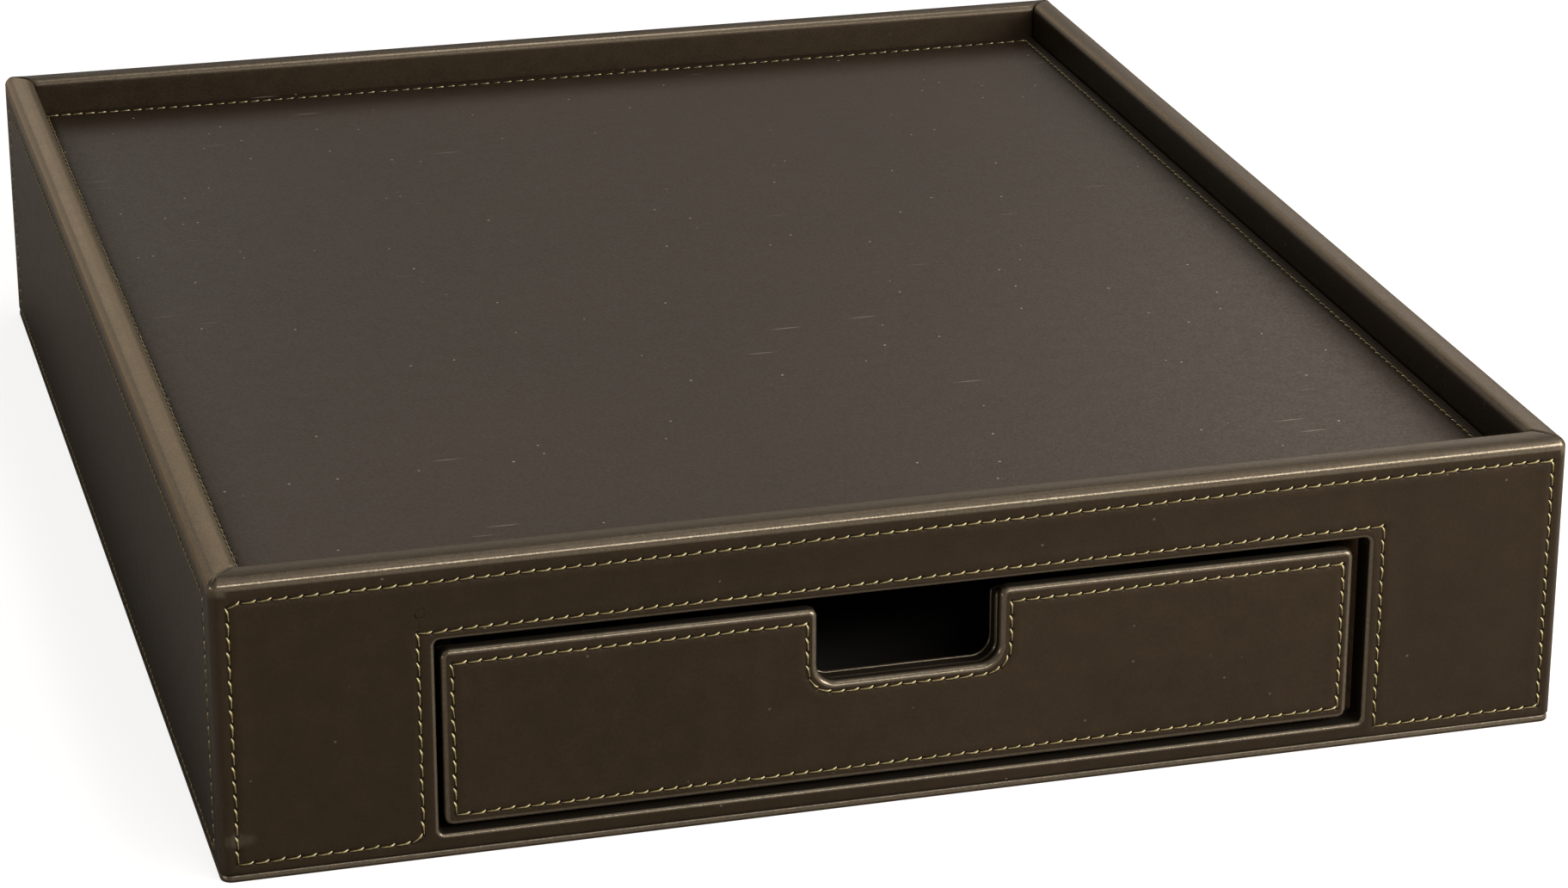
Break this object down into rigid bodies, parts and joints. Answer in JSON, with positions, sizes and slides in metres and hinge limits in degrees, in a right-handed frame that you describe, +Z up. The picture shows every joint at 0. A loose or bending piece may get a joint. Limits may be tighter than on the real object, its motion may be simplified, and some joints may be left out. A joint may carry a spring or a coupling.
{
  "type": "tray with drawer",
  "caption": "Low rectangular tray with a raised rim, covered in stitched brown leatherette, over a box with a flush drawer that has a finger notch.",
  "frame": {"origin": "middle of the underside, on the surface that the tray stands on", "axes": "+Z up; -Y out of the front with the drawer; +X to the right, seen from the front; the depth along Y is the longest side"},
  "size_m": [0.35, 0.42, 0.08],
  "materials": {
    "leatherette": "fine grained brown leatherette with a satin sheen",
    "fibreboard": "raw medium density fibreboard",
    "softwood": "raw softwood strip",
    "felt": "short dark felt",
    "lining_cloth": "dark brown suede cloth",
    "nail_steel": "plain steel wire",
    "thread": "golden olive sewing thread"
  },
  "bodies": {
    "case": {"floor_board": "fibreboard", "front_board": "fibreboard", "back_board": "fibreboard", "left_board": "fibreboard", "right_board": "fibreboard", "left_divider": "fibreboard", "right_divider": "fibreboard", "left_deck_ledger": "softwood", "right_deck_ledger": "softwood", "deck_board": "fibreboard", "deck_cover": "leatherette", "front_cover": "leatherette", "left_cover": "leatherette", "right_cover": "leatherette", "back_cover": "leatherette", "bay_lining": "lining_cloth", "drawer_stop": "softwood", "base_board": "fibreboard", "base_cover": "leatherette", "underside_felt": "felt", "corner_brads": "nail_steel", "floor_brads": "nail_steel"},
    "drawer": {"drawer_face_board": "fibreboard", "drawer_face_cover": "leatherette", "drawer_front_wall": "fibreboard", "drawer_front_cover": "leatherette", "drawer_front_lining": "leatherette", "drawer_left_wall": "fibreboard", "drawer_right_wall": "fibreboard", "drawer_back_wall": "fibreboard", "drawer_wall_cover": "leatherette", "drawer_bottom": "fibreboard", "drawer_bottom_cover": "lining_cloth", "drawer_lining": "lining_cloth", "drawer_glides": "felt"}
  },
  "joints": [
    {"name": "drawer_slide", "type": "slide", "parent": "case", "child": "drawer", "axis": [0, -1, 0], "range_m": [0, 0.29]}
  ]
}
